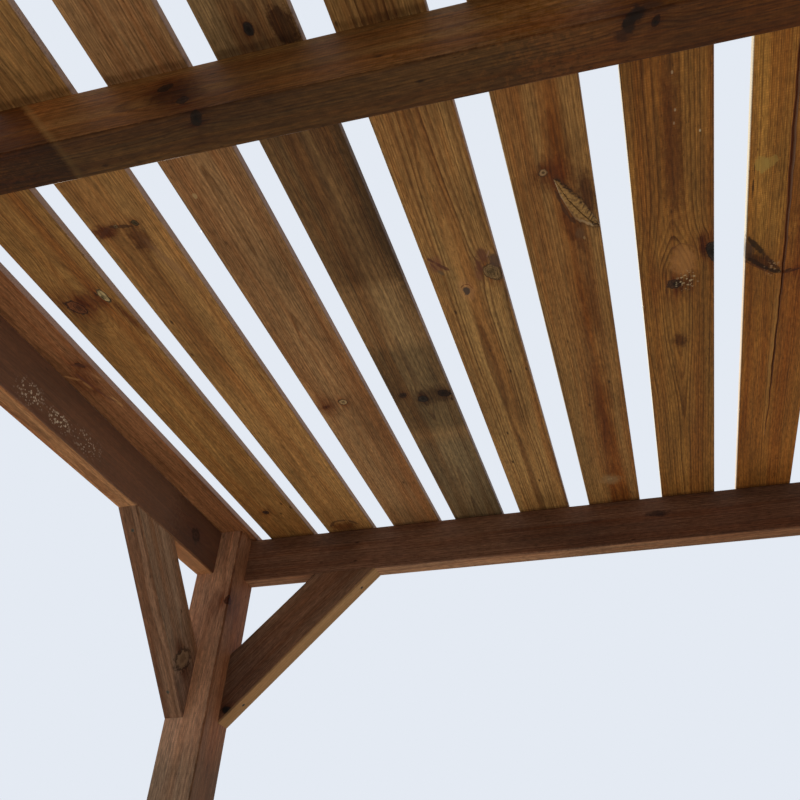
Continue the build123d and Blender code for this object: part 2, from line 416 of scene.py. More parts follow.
# Where something lay on the timber, such as a spacer in the stack: a strip right across it, at a slant,
# with borders that waver by a few millimetres. Such strips also darken or cool lengths of some timbers,
# some of them as painted shade.
stripWaver = 0.014


def makeStrip():
    tree, given = newGroup("strip",
                           {"Vector": ("Position",), "Float": ("From", "To", "Slant", "Soft", "Rough")},
                           {"Float": ("Mask",)})
    parts = addNode(tree, "ShaderNodeSeparateXYZ", {0: given["Position"]}).outputs
    along = addNode(tree, "ShaderNodeMath", {0: parts["Y"], 1: given["Slant"], 2: parts["X"]},
                    operation="MULTIPLY_ADD")
    along = addNode(tree, "ShaderNodeMath", {0: given["Rough"], 1: stripWaver, 2: along},
                    operation="MULTIPLY_ADD")
    along = addNode(tree, "ShaderNodeMath", {0: along, 1: stripWaver / 2}, operation="SUBTRACT")
    start = addNode(tree, "ShaderNodeMath", {0: along, 1: given["From"]}, operation="SUBTRACT")
    start = addNode(tree, "ShaderNodeMath", {0: start, 1: given["Soft"]}, operation="DIVIDE",
                    use_clamp=True)
    end = addNode(tree, "ShaderNodeMath", {0: given["To"], 1: along}, operation="SUBTRACT")
    end = addNode(tree, "ShaderNodeMath", {0: end, 1: given["Soft"]}, operation="DIVIDE", use_clamp=True)
    mask = addNode(tree, "ShaderNodeMath", {0: start, 1: end}, operation="MULTIPLY")
    addNode(tree, "NodeGroupOutput", {"Mask": mask})
    return tree


groups = {"log": makePineLog(), "knot": makeBranchKnot(), "face": makePineFace(), "smudge": makeSmudge(),
          "specks": makeSpecks(), "strip": makeStrip()}
print("wood groups made")


# Each timber's own axes: along the grain, across its width, through its thickness
def timberAxes(name):
    east, north, up = Vector((1, 0, 0)), Vector((0, 1, 0)), Vector((0, 0, 1))
    if name.startswith("roof_board"):
        along, width = north, east
    elif name.startswith("post"):
        along, width = up, east
    elif name in ("left_beam", "right_beam"):
        along, width = north, up
    elif name.endswith("_beam"):
        along, width = east, up
    else:
        inward = -east if name.endswith("right") else east
        if name.startswith("side_brace"):
            inward = -north if "_back" in name else north
        along, width = (inward + up).normalized(), (up - inward).normalized()
    thick = along.cross(width)
    points = [v.co for v in timbers[name].data.vertices]
    centre = Vector()
    for axis in (along, width, thick):
        reaches = [p.dot(axis) for p in points]
        centre += axis * (min(reaches) + max(reaches)) / 2
    return centre, Matrix((along, width, thick)).transposed()


# A timber's material: planed softwood, pressure-treated and left to weather, which gives a dry, honey to
# grey brown face with a broken sheen. Each timber has its own rings, knots and marks.
def pineTimber(name, wood):
    centre, axes = timberAxes(name)
    material, tree = newMaterial("planedPine_" + name)
    place = addNode(tree, "ShaderNodeTexCoord").outputs
    position = addNode(tree, "ShaderNodeMapping",
                       {"Vector": place["Object"], "Location": centre, "Rotation": axes.to_euler()},
                       vector_type="TEXTURE")
    facing = [addNode(tree, "ShaderNodeVectorMath", {0: place["Normal"], 1: axis},
                      operation="DOT_PRODUCT").outputs["Value"] for axis in (axes.col[0], axes.col[1])]
    facing[0] = addNode(tree, "ShaderNodeMath", {0: facing[0]}, operation="ABSOLUTE")
    pith = Vector((0, *wood["pith"]))
    lean = Vector((0, *wood["lean"]))
    log = addNode(tree, "ShaderNodeGroup",
                  {"Position": position, "Pith": pith, "Lean": lean, "Ring": wood["ring"],
                   "Seed": wood["seed"]}, node_tree=groups["log"]).outputs
    state = {"Age": log["Age"], "Mask": 0.0, "Paint": linear(knotInks["brown"]), "Bark": 0.0, "Halo": 0.0}
    shared = {"Log": log["Log"], "Rough": log["Rough"], "Smear": log["Smear"], "Ring": wood["ring"]}
    for knot in wood["knots"]:
        point = Vector(knot["at"]) - pith - lean * knot["at"][0]
        reach = math.hypot(point.y, point.z)
        aside = point.y * knot.get("square", 0.0)
        rise = reach * math.tan(math.radians(knot.get("tilt", 20)))
        branch = addNode(tree, "ShaderNodeGroup",
                         {**state, **shared, "Start": (point.x - rise, aside, 0),
                          "Direction": Vector((rise, point.y - aside, point.z)).normalized(),
                          "Taper": reach / knot["radius"],
                          "Reach": knot["radius"] * knot.get("reach", 1.0),
                          "Trail": knot.get("trail", branchLook["grainPull"]),
                          "Ink": linear(knotInks[knot.get("ink", "brown")]), "Rim": knot.get("rim", 0.5),
                          "Swell": knot.get("swell", 1.2)}, node_tree=groups["knot"])
        state = {label: branch.outputs[label] for label in state}
    face = addNode(tree, "ShaderNodeGroup",
                   {**state, "Position": position, "Log": log["Log"], "Radius": log["Radius"],
                    "EndOn": facing[0], "EdgeOn": facing[1], "Early": linear(wood["early"]),
                    "Late": linear(wood["late"]), "Warm": linear(wood["warm"]),
                    "Contrast": wood["contrast"], "Heart": wood["heart"], "Streaks": wood["streaks"],
                    "Patches": wood["patches"], "Pits": wood["pits"], "Flecks": wood["flecks"],
                    "Chatter": wood["chatter"], "BleachAndSideLight": wood["bleachAndSideLight"], "Seed": wood["seed"]},
                   node_tree=groups["face"])
    colour = face.outputs["Color"]
    if any(mark.get("grit") for mark in wood["marks"]):
        specks = addNode(tree, "ShaderNodeGroup", {"Position": position, "Rough": log["Rough"]},
                         node_tree=groups["specks"]).outputs["Specks"]
    else:
        specks = 1.0
    for mark in wood["marks"]:
        if "start" in mark:
            mask = addNode(tree, "ShaderNodeGroup",
                           {"Position": position, "From": mark["start"], "To": mark["end"],
                            "Slant": mark.get("slant", 0.0), "Soft": mark["soft"],
                            "Rough": log["Rough"]}, node_tree=groups["strip"])
        else:
            mask = addNode(tree, "ShaderNodeGroup",
                           {"Position": position, "Centre": mark["at"], "Size": mark["size"],
                            "Turn": math.radians(mark.get("turn", 0.0)), "Soft": mark.get("soft", 0.6),
                            "Rough": log["Rough"], "Grit": mark.get("grit", 0.0), "Specks": specks},
                           node_tree=groups["smudge"])
        mask = addNode(tree, "ShaderNodeMath", {0: mask, 1: mark.get("amount", 0.8)},
                       operation="MULTIPLY")
        colour = addNode(tree, "ShaderNodeMix", {0: mask, 6: colour, 7: linear(mark["ink"])},
                         data_type="RGBA", blend_type=mark.get("blend", "MULTIPLY")).outputs[2]
    for label, ink in wood["carved"].items():
        mask = addNode(tree, "ShaderNodeAttribute", attribute_name=label).outputs["Fac"]
        colour = addNode(tree, "ShaderNodeMix", {0: mask, 6: colour, 7: linear(ink)},
                         data_type="RGBA").outputs[2]
    bump = addNode(tree, "ShaderNodeBump",
                   {"Strength": faceLook["bump"], "Distance": faceLook["bumpHeight"],
                    "Height": face.outputs["Height"]})
    shader = addNode(tree, "ShaderNodeBsdfPrincipled",
                     {"Base Color": colour, "Roughness": face.outputs["Roughness"], "Normal": bump,
                      "IOR": faceLook["index"], "Specular IOR Level": faceLook["specular"]})
    addNode(tree, "ShaderNodeOutputMaterial", {"Surface": shader})
    return material


knotInks = {"brown": "#7C4A2A", "dark": "#4C3222", "black": "#2E2622", "pale": "#B49468",
            "olive": "#5C4C30", "red": "#6A3C28", "cream": "#CDB682", "tan": "#8A6E48",
            "slate": "#4A4038"}
baseWood = {"pith": (0.0, -0.03), "lean": (0.004, 0.006), "ring": 0.0036, "knots": [], "marks": [],
            "early": "#A87C44", "late": "#6E4520", "warm": "#DCAE84", "contrast": 0.85, "heart": 0.0,
            "streaks": 0.6, "patches": 0.4, "pits": 0.012, "flecks": 0.1, "chatter": 0.05, "bleachAndSideLight": 0.0,
            "carved": {}}


# Marks on any face: a tint, a patch that covers the wood, and a strip from one place along it to another.
# Places and half sizes are along, across and through the timber, from its middle.
def shade(at, size, ink, **looks):
    return dict(looks, at=at, size=size, ink=ink)


def cover(at, size, ink, **looks):
    return shade(at, size, ink, blend="MIX", **looks)


def strip(start, end, ink, **looks):
    return dict(looks, start=start, end=end, ink=ink)


# The same for a board's underside, which is +, given along and across it: a knot, a tint, a patch that
# covers, and lines drawn from place to place
under = 0.008
markDepth = 0.02


def spot(along, across, **looks):
    return dict(looks, at=(along, across, under))


def tinge(along, across, length, width, ink, **looks):
    return shade((along, across, under), (length, width, markDepth), ink, **looks)


def patch(along, across, length, width, ink, **looks):
    return cover((along, across, under), (length, width, markDepth), ink, **looks)


def line(places, width, ink, **looks):
    strokes = []
    for start, end in zip(places, places[1:]):
        run, rise = end[0] - start[0], end[1] - start[1]
        strokes.append(dict({"blend": "MIX", "soft": 0.6, "amount": 0.8}, ink=ink,
                            at=((start[0] + end[0]) / 2, (start[1] + end[1]) / 2, under),
                            size=(math.hypot(run, rise) / 2, width, markDepth),
                            turn=-math.degrees(math.atan2(rise, run)), **looks))
    return strokes


boardWood = {
    1: {"pith": (-0.01, -0.045), "early": "#A8744C", "late": "#6A4024", "contrast": 0.5,
        "knots": [
            spot(0.563, 0.045, radius=0.006, swell=2.5, reach=1.2, ink="dark", rim=0.6, tilt=40,
                 trail=0.12)],
        "marks": [
            tinge(0.62, 0.020, 0.05, 0.030, "#B07C5C", soft=1.2, amount=0.5),
            *line(((0.5571, 0.020), (0.569, 0.060)), 0.0050, "#6E4030", amount=0.6),
            *line(((0.590, -0.014), (0.6141, 0.0165), (0.6491, 0.0196)), 0.0040, "#C8945E", amount=0.6),
            *line(((0.5938, 0.0532), (0.6245, 0.0624)), 0.0036, "#C49060", amount=0.5),
            *line(((0.6803, 0.0462), (0.7231, 0.0529)), 0.0040, "#D0A068", amount=0.65),
            *line(((0.5854, 0.0163), (0.6435, 0.0290)), 0.0040, "#74483A", amount=0.7),
            *line(((0.6435, 0.0290), (0.6807, 0.0357)), 0.0040, "#6E4434", amount=0.7),
            *line(((0.6807, 0.0357), (0.7067, 0.0497)), 0.0036, "#74483A", amount=0.6)]},
    2: {"pith": (0.004, -0.034), "contrast": 0.6,
        "knots": [
            spot(0.399, -0.031, radius=0.0145, rim=1.0, swell=4.0, reach=1.2, ink="brown", tilt=-35,
                 square=0.5, trail=0.2),
            spot(0.379, 0.038, radius=0.0085, ink="cream", rim=1.0, tilt=58, square=0.7),
            spot(1.273, -0.014, radius=0.008, rim=0.9, ink="dark", square=0.7)],
        "marks": [
            tinge(0.388, 0.002, 0.024, 0.026, "#A8683E", soft=1.2, amount=0.7),
            patch(0.384, 0.0375, 0.0060, 0.0018, "#463A24", soft=0.5, amount=0.85, turn=-15),
            *line(((0.3647, 0.0300), (0.378, 0.0305)), 0.0018, "#32281A", amount=0.8),
            *line(((0.400, 0.052), (0.50, 0.064)), 0.0070, "#9A6A50", blend="MULTIPLY", soft=1.3),
            *line(((0.362, 0.006), (0.402, 0.012), (0.418, -0.002)), 0.0016, "#6E3C22", amount=0.6)]},
    3: {"pith": (-0.02, -0.05), "early": "#BA8C52", "contrast": 0.55,
        "knots": [
            spot(0.2247, -0.0174, radius=0.004, tilt=20, rim=0.4, ink="cream", square=0.8),
            spot(0.2255, 0.022, radius=0.006, tilt=30, rim=0.8, ink="olive", square=0.8)],
        "marks": [
            tinge(0.232, -0.045, 0.016, 0.024, "#94583A", soft=1.0, amount=0.85),
            *line(((0.243, -0.062), (0.222, -0.030)), 0.004, "#5C3420", amount=0.7),
            *line(((0.222, -0.032), (0.229, 0.016)), 0.0040, "#4C2E1A", amount=0.8),
            tinge(0.262, 0.012, 0.032, 0.020, "#8C6240", soft=1.2, amount=0.8),
            *line(((0.27, 0.018), (0.40, 0.052)), 0.009, "#9A7250", amount=0.45, soft=1.3),
            tinge(1.401, -0.011, 0.022, 0.034, "#9A6E58", soft=1.0, amount=0.8),
            *line(((1.395, -0.052), (1.366, -0.030), (1.366, 0.010), (1.395, 0.034)),
                  0.0050, "#4E3024", amount=0.7)]},
    4: {"pith": (0.0, -0.03), "contrast": 0.6, "early": "#B0875A",
        "knots": [
            spot(0.823, -0.001, radius=0.0105, ink="pale", rim=0.9, square=0.7, reach=0.8),
            spot(0.833, -0.048, radius=0.005, rim=0.3, reach=0.8)],
        "marks": [
            tinge(0.825, -0.040, 0.04, 0.025, "#B08468", soft=1.3, amount=0.6),
            patch(0.193, -0.042, 0.006, 0.004, "#C4A674", amount=0.7)]},
    5: {"pith": (0.0, -0.028), "early": "#A48458", "late": "#6A4C34",
        "knots": [
            spot(0.852, 0.0, radius=0.0105, rim=0.8, ink="slate", square=0.7, tilt=30, reach=0.8),
            spot(0.841, 0.050, radius=0.0120, ink="dark", square=0.7, rim=1.0, tilt=10, reach=0.8),
            spot(0.828, -0.041, radius=0.0075, ink="dark", square=0.7, reach=0.8),
            spot(-0.067, -0.002, radius=0.008, ink="black", tilt=45)],
        "marks": [
            strip(0.08, 0.485, "#C4BAB0", soft=0.03, amount=0.8),
            # from 0.64 to 1.0 along, the board is darkened and greyed with painted shade; from 1.0 on it
            # is only cooler
            strip(0.64, 1.0, "#C4C8CA", soft=0.04, amount=0.8),
            strip(1.0, 1.6, "#DCE6F2", soft=0.05, amount=1.0),
            tinge(0.3, 0.066, 0.25, 0.016, "#A8ACAC", soft=1.0, amount=0.7),
            tinge(0.845, 0.03, 0.03, 0.04, "#8A6A50", soft=1.1, amount=0.6),
            tinge(-0.06, 0.05, 0.03, 0.02, "#80604C", amount=0.8)]},
    6: {"pith": (-0.008, -0.03), "early": "#B48C54", "late": "#7A542E", "ring": 0.0046,
        "knots": [
            spot(0.4896, 0.0476, radius=0.0165, rim=0.7, ink="tan", square=0.8, tilt=25, reach=0.7,
                 swell=1.2)],
        "marks": [
            patch(0.4611, 0.0620, 0.018, 0.011, "#5E483C", soft=0.8, amount=0.85),
            patch(0.4450, 0.0430, 0.020, 0.009, "#6C402E", soft=0.9, amount=0.8),
            patch(0.4700, 0.0300, 0.020, 0.007, "#6C402E", soft=0.9, amount=0.8),
            patch(0.4940, 0.0250, 0.014, 0.006, "#84543A", soft=0.9, amount=0.65),
            *line(((0.434, 0.058), (0.450, 0.050)), 0.0014, "#B08A74", amount=0.5),
            patch(0.448, -0.050, 0.020, 0.015, "#84543E", soft=1.2, amount=0.6),
            *line(((0.4274, -0.0620), (0.4429, -0.0494)), 0.0034, "#5E362A", amount=0.8),
            *line(((0.4429, -0.0494), (0.4680, -0.0280)), 0.0038, "#5E362A", amount=0.8),
            *line(((0.4380, -0.0600), (0.4644, -0.0494)), 0.0020, "#6A4034", amount=0.65),
            *line(((0.4644, -0.0494), (0.4773, -0.0408)), 0.0040, "#6E5A40", amount=0.75),
            patch(0.528, -0.0080, 0.024, 0.014, "#CC9668", soft=1.4, amount=0.35),
            patch(0.5297, -0.0087, 0.0115, 0.0062, "#54463E", soft=0.4, amount=0.95),
            *line(((0.5189, -0.0182), (0.5108, -0.0089), (0.5133, 0.0003)),
                  0.0013, "#6E3A20", amount=0.75),
            *line(((0.5133, 0.0003), (0.5262, 0.0051)), 0.0013, "#7A4426", amount=0.7)]},
    7: {"pith": (0.012, -0.02), "heart": 0.03, "early": "#AA804A",
        "knots": [
            spot(0.284, -0.012, radius=0.0075, ink="tan", rim=1.0, tilt=5, square=0.9, swell=1.5),
            spot(1.304, 0.001, radius=0.007, ink="pale", square=0.6)],
        "marks": [
            tinge(0.345, 0.055, 0.05, 0.012, "#80523A", soft=1.2, amount=0.8),
            tinge(0.29, 0.004, 0.035, 0.026, "#A8704C", soft=1.3, amount=0.7),
            tinge(0.42, 0.022, 0.05, 0.014, "#A8745A", soft=1.2, amount=0.55, turn=-15),
            patch(0.431, 0.032, 0.013, 0.007, "#8E7456", soft=1.0, amount=0.55),
            patch(0.444, 0.038, 0.004, 0.002, "#C4AE80", amount=0.7),
            patch(0.2835, -0.0122, 0.0066, 0.0062, "#B8946A", soft=0.6, amount=0.7),
            patch(0.2830, -0.0118, 0.0030, 0.0028, "#44301C", soft=0.6, amount=0.8),
            *line(((0.3250, 0.0025), (0.3595, 0.0090)), 0.0030, "#4A3020", amount=0.7),
            *line(((0.3595, 0.0090), (0.3862, 0.0165)), 0.0036, "#4A3020", amount=0.75),
            *line(((0.3862, 0.0165), (0.4065, 0.0270)), 0.0032, "#4A3020", amount=0.7),
            *line(((0.30, 0.032), (0.75, 0.036)),
                  0.010, "#B48C6C", blend="MULTIPLY", soft=1.4, amount=0.6),
            *line(((0.70, 0.010), (1.42, 0.002)),
                  0.012, "#B48C74", blend="MULTIPLY", soft=1.5, amount=0.6),
            patch(1.305, 0.002, 0.022, 0.024, "#B49668", amount=0.45, soft=1.0)],
        # the crack ink also paints the shadow round the bark pocket, and the lip ink its painted
        # highlight
        "carved": {"pocket": "#C0965A", "lip": "#FFF0CC", "crack": "#3A2618"}},
    8: {"pith": (-0.004, -0.022), "ring": 0.0046, "early": "#A47438", "late": "#68401A", "chatter": 0.1,
        "knots": [
            spot(0.602, -0.006, radius=0.0115, rim=0.8, ink="dark", tilt=10, square=0.8, swell=5.0,
                 reach=2.0, trail=0.06),
            spot(0.529, 0.066, radius=0.0125, rim=0.9, ink="slate", square=0.8, tilt=35, swell=1.5)],
        "marks": [
            tinge(0.529, 0.064, 0.018, 0.010, "#6E6056", soft=1.0, amount=0.7),
            tinge(0.512, 0.050, 0.026, 0.010, "#A0684A", soft=1.2, amount=0.8),
            patch(0.545, 0.012, 0.040, 0.022, "#C08850", soft=0.7, amount=0.55),
            *line(((0.512, -0.012), (0.497, 0.010), (0.512, 0.036)), 0.0016, "#7A4C2C", amount=0.5),
            tinge(0.604, 0.010, 0.022, 0.014, "#7E5640", soft=1.2, amount=0.6),
            patch(0.598, 0.018, 0.026, 0.020, "#C8B088", amount=0.8, grit=1.0),
            patch(0.603, -0.004, 0.008, 0.006, "#A49478", amount=0.5, grit=1.0),
            tinge(0.773, 0.0, 0.022, 0.014, "#86644E", soft=1.1, amount=0.8),
            patch(0.144, 0.008, 0.0030, 0.0016, "#E0D2B0", soft=0.4, amount=0.8),
            patch(0.211, 0.010, 0.0030, 0.0018, "#E0D2B0", soft=0.4, amount=0.9),
            patch(0.235, 0.0075, 0.0030, 0.0016, "#E0D2B0", soft=0.4, amount=0.8),
            patch(0.258, 0.0475, 0.0030, 0.0016, "#E0D2B0", soft=0.4, amount=0.7),
            *line(((0.10, 0.004), (0.45, 0.004)), 0.016, "#B08C78", blend="MULTIPLY", soft=1.5)]},
    9: {"pith": (0.006, 0.004), "chatter": 0.12, "contrast": 0.8, "ring": 0.0032, "early": "#BC8840",
        "late": "#764618",
        "knots": [
            spot(0.607, 0.045, radius=0.006, tilt=-20, rim=0.5, ink="brown", swell=0.5)],
        "marks": [
            patch(0.350, -0.049, 0.017, 0.013, "#B89A50", soft=0.3, amount=0.65),
            patch(0.347, -0.034, 0.012, 0.011, "#B89A50", soft=0.3, amount=0.5),
            *line(((0.3737, -0.0612), (0.4138, -0.0612)), 0.0016, "#2A1A10", amount=0.9),
            *line(((0.3450, -0.0606), (0.3720, -0.0602)), 0.0011, "#3A2414", amount=0.8),
            patch(0.545, -0.066, 0.028, 0.010, "#4A3830", soft=1.0, amount=0.8),
            tinge(0.578, -0.038, 0.030, 0.013, "#7A5440", soft=1.0, amount=0.8, turn=-42),
            *line(((0.505, -0.070), (0.5627, -0.034)), 0.0052, "#32200F", amount=0.9),
            *line(((0.5600, -0.036), (0.612, -0.004)), 0.0040, "#4A2E18", amount=0.8),
            *line(((0.562, -0.066), (0.607, -0.023)), 0.0052, "#321E10", amount=0.9),
            *line(((0.600, -0.028), (0.617, 0.002)), 0.0050, "#2A1A0E", amount=0.9),
            *line(((0.570, -0.070), (0.6167, -0.018)), 0.0024, "#5C321C", amount=0.7),
            *line(((0.616, 0.002), (0.609, 0.016)), 0.0032, "#3A2414", amount=0.8),
            *line(((0.619, 0.002), (0.612, 0.034)), 0.0026, "#5A341E", amount=0.8),
            *line(((0.612, 0.030), (0.596, 0.066)), 0.0026, "#5A341E", amount=0.7),
            patch(0.598, -0.018, 0.022, 0.016, "#BCA27C", amount=0.7, grit=1.0),
            *line(((0.16, 0.032), (0.60, 0.030)), 0.016, "#B88A70", blend="MULTIPLY", soft=1.5),
            strip(0.5, 1.6, "#EADAD2", soft=0.1, amount=1.0)],
        "carved": {"lip": "#BC9456", "crack": "#6E3410"}},
}

# grime, and painted contact shade, where a board's underside meets a beam
grimeAndShade = [tinge(along, 0, 0.006, 0.12, "#8A7462", soft=1.4, amount=0.5)
         for along in (-1.422, -0.040, 0.038, 1.422)]

# Beams, braces and post: + through a beam or a cross brace is towards the front or the right.
# A mark as wide as the timber shades one face of it.
underFace = ((0, -0.065, 0), (9, 0.004, 9))
frontFace = ((0, 0, 0.0275), (9, 9, 0.004))
beamWood = {
    "mid_beam": {
        "pith": (-0.01, -0.045), "early": "#BC8A52", "late": "#7E5028", "contrast": 0.7,
        "unseen": (0.6, 1.35),
        "knots": [
            {"at": (-0.817, 0.017, 0.0335), "radius": 0.009, "ink": "dark", "tilt": 40, "reach": 1.5,
             "square": 0.6, "rim": 0.9},
            {"at": (-0.778, -0.027, 0.0335), "radius": 0.009, "ink": "dark", "reach": 1.4,
             "square": 0.6, "rim": 0.9},
            {"at": (-0.753, -0.065, 0.0233), "radius": 0.008, "ink": "dark"},
            {"at": (-0.139, -0.065, 0.028), "radius": 0.007, "ink": "dark", "tilt": 40, "rim": 0.3},
            {"at": (-0.111, -0.065, 0.015), "radius": 0.005, "ink": "dark", "rim": 0.3}],
        "marks": [
            strip(-1.5, -1.028, "#A89880", slant=0.787, soft=0.01, amount=0.9),
            strip(-1.037, -1.017, "#C8A468", slant=0.787, soft=0.01, blend="MIX", amount=0.35),
            # from -0.3 along on, the beam is darkened with painted shade, more on its front face; from
            # -1.04 to -0.25 it is only cooler
            strip(-0.3, 1.6, "#C0AE84", soft=0.3, amount=0.9),
            strip(-1.04, -0.25, "#E2E8E6", soft=0.06, amount=1.0),
            shade((0.75, 0, 0.0335), (1.0, 9, 0.004), "#E6DCAC", soft=0.3, amount=0.9),
            cover((-0.117, -0.054, 0.0335), (0.016, 0.009, 0.01), "#4A3226", soft=0.9, amount=0.75),
            cover((-0.133, -0.065, 0.031), (0.009, 0.02, 0.01), "#2C201A", soft=0.7, amount=0.85),
            cover((-0.145, -0.065, 0.018), (0.008, 0.02, 0.01), "#32241C", soft=0.7, amount=0.85),
            cover((-0.155, -0.065, 0.007), (0.009, 0.02, 0.008), "#4A3226", soft=0.9, amount=0.7),
            shade((-0.8, 0.0, 0.0335), (0.035, 0.028, 0.02), "#A07C60", soft=1.3, amount=0.8),
            shade(*underFace, "#B09A84", amount=0.9),
            shade((-0.68, -0.065, 0), (0.42, 0.004, 9), "#C6D2E0", soft=0.3, amount=0.8)]},
    "left_beam": {
        "pith": (0.0, -0.01), "early": "#B8865A", "late": "#7A4C30", "unseen": (-1.3, 0.2),
        "knots": [
            {"at": (1.232, -0.007, 0.0275), "radius": 0.015, "ink": "dark", "rim": 0.9, "reach": 1.4}],
        "marks": [
            # its inner face, turned from the sun, is darkened with painted shade, and darker still
            # towards the post end
            shade(*frontFace, "#BCA8A4", amount=0.9),
            cover(*frontFace, "#7C6458", amount=0.5),
            cover((1.232, -0.007, 0.0275), (0.022, 0.017, 0.02), "#3C2A24", soft=0.5, amount=0.8),
            cover((1.232, -0.007, 0.0275), (0.013, 0.01, 0.02), "#6A4C3E", soft=0.5, amount=0.6),
            cover((1.232, -0.007, 0.0275), (0.006, 0.004, 0.02), "#3C2A24", soft=0.5, amount=0.6),
            # painted light lifts the underside towards the post, where the brace shades it
            cover((1.15, -0.065, 0), (0.22, 0.004, 9), "#E8B080", soft=0.5, amount=0.35),
            shade((1.26, 0, 0.0275), (0.14, 9, 0.004), "#C4B4AE", soft=0.8, amount=0.7),
            cover((0.525, -0.032, 0.0275), (0.035, 0.022, 0.02), "#EFE4D0", amount=0.9, grit=1.0,
                  soft=1.5),
            cover((0.625, -0.034, 0.0275), (0.036, 0.018, 0.02), "#EFE4D0", amount=1.0, grit=1.0,
                  soft=1.2),
            cover((0.725, -0.03, 0.0275), (0.045, 0.02, 0.02), "#EFE4D0", amount=0.7, grit=1.0,
                  soft=1.5)]},
    "back_beam": {
        "pith": (0.01, 0.03), "early": "#B48866", "late": "#7A523A", "unseen": (0.6, 1.3),
        "marks": [
            shade((0.4, -0.065, 0), (0.8, 0.004, 9), "#DCD8D0", soft=0.5, amount=0.9),
            # its face towards the camera, turned from the sun, is darkened and greyed with painted shade,
            # more over part of its length
            shade(*frontFace, "#B6AEB4", amount=0.9),
            shade((0.3, 0, 0.0275), (0.7, 9, 0.004), "#BEAEA6", soft=1.0, amount=0.35),
            shade((-0.174, 0.014, 0.0275), (0.03, 0.008, 0.02), "#5C4438", soft=1.0, amount=0.8)]},
    "post_back_left": {
        "pith": (0.01, -0.006), "early": "#DAAE8E", "late": "#966654", "contrast": 0.4, "streaks": 0.4,
        "unseen": (-1.1, 0.2),
        "knots": [
            {"at": (0.985, 0.057, -0.058), "radius": 0.011, "ink": "red", "tilt": 25, "reach": 1.6,
             "rim": 0.9}],
        "marks": [
            # its +X face, turned from the sun, is darkened with painted shade; below 0.62 along it the
            # post is darker and cooler
            shade((0, 0.06, 0), (9, 0.004, 9), "#BEA693", amount=0.9),
            strip(-1.3, 0.62, "#D4DEE0", soft=0.08, amount=1.0)]},
    "side_brace_back_left": {
        "pith": (0.02, 0.004), "early": "#AC9078", "unseen": (0, 0),
        "knots": [
            {"at": (-0.151, -0.013, -0.0275), "radius": 0.012, "ink": "pale", "rim": 1.0, "tilt": 48,
             "reach": 1.0, "square": 0.6}],
        "marks": [
            shade(*underFace, "#E2CCBE", amount=0.9),
            shade((-0.151, -0.013, -0.0275), (0.045, 0.024, 0.02), "#A88468", soft=1.3, amount=0.7),
            cover((-0.151, -0.013, -0.0275), (0.0275, 0.04, 0.02), "#33241B", soft=0.35, amount=0.85),
            cover((-0.151, -0.013, -0.0275), (0.02, 0.029, 0.02), "#94785C", soft=0.35, amount=0.9),
            cover((-0.149, -0.012, -0.0275), (0.011, 0.015, 0.02), "#6A503A", soft=0.6, amount=0.7),
            shade((-0.23, 0, -0.0275), (0.06, 9, 0.004), "#C0B8C0", soft=1.2, amount=0.8)]},
    "cross_brace_back_left": {
        "pith": (0.0, -0.02), "early": "#A07C60", "unseen": (0, 0),
        "knots": [
            {"at": (-0.25, -0.055, 0.0275), "radius": 0.01, "ink": "black"}],
        "marks": [
            # its underside is lightened with painted light from the ground; its front face, turned from
            # the sun, is darkened with painted shade, more towards its foot
            cover(*underFace, "#D0A468", amount=0.45),
            shade(*frontFace, "#E0DCE0", amount=0.9),
            shade((-0.2, 0, 0.0275), (0.13, 9, 0.004), "#CCCCD4", soft=1.5, amount=0.9)]},
}

# Half of a timber's width and thickness, and how far along it knots may sit
timberReach = {"roof_board": (0.06, 0.008, 1.4), "post": (0.05, 0.06, 1.1), "beam": (0.05, 0.0275, 1.3),
               "brace": (0.05, 0.0275, 0.2)}

# What the photograph doesn't show is drawn from a fixed seed: tone, pith, ring width and knots in whorls
woodDraws = {"tints": ("#A87C44", "#A0713E", "#A68450", "#B08446", "#9C7444"),
             "pithAcross": (-0.015, 0.015), "pithThrough": (-0.035, -0.01), "ring": (0.003, 0.0045),
             "contrast": (0.6, 1.0), "firstWhorl": (0.05, 0.4), "nextWhorl": (0.5, 0.8),
             "knotsInWhorl": (1, 1, 2), "stray": (-0.04, 0.04), "radius": (0.005, 0.012),
             "tilt": (-30, 50), "inks": ("brown", "dark", "dark", "black", "brown"), "rim": (0.3, 0.9)}

# A branch starts at the pith, so one that is shorter than a few of its radii would show as a broad smear,
# and is left out.
shortestBranch = 3.5


def unseenKnots(draw, start, end, half, thick):
    knots = []
    place = start + draw.uniform(*woodDraws["firstWhorl"])
    while place < end:
        for _ in range(draw.choice(woodDraws["knotsInWhorl"])):
            knots.append({"at": (place + draw.uniform(*woodDraws["stray"]), draw.uniform(-half, half),
                                 draw.choice((-thick, thick))),
                          "radius": draw.uniform(*woodDraws["radius"]),
                          "tilt": draw.uniform(*woodDraws["tilt"]), "ink": draw.choice(woodDraws["inks"]),
                          "rim": draw.uniform(*woodDraws["rim"])})
        place += draw.uniform(*woodDraws["nextWhorl"])
    return knots


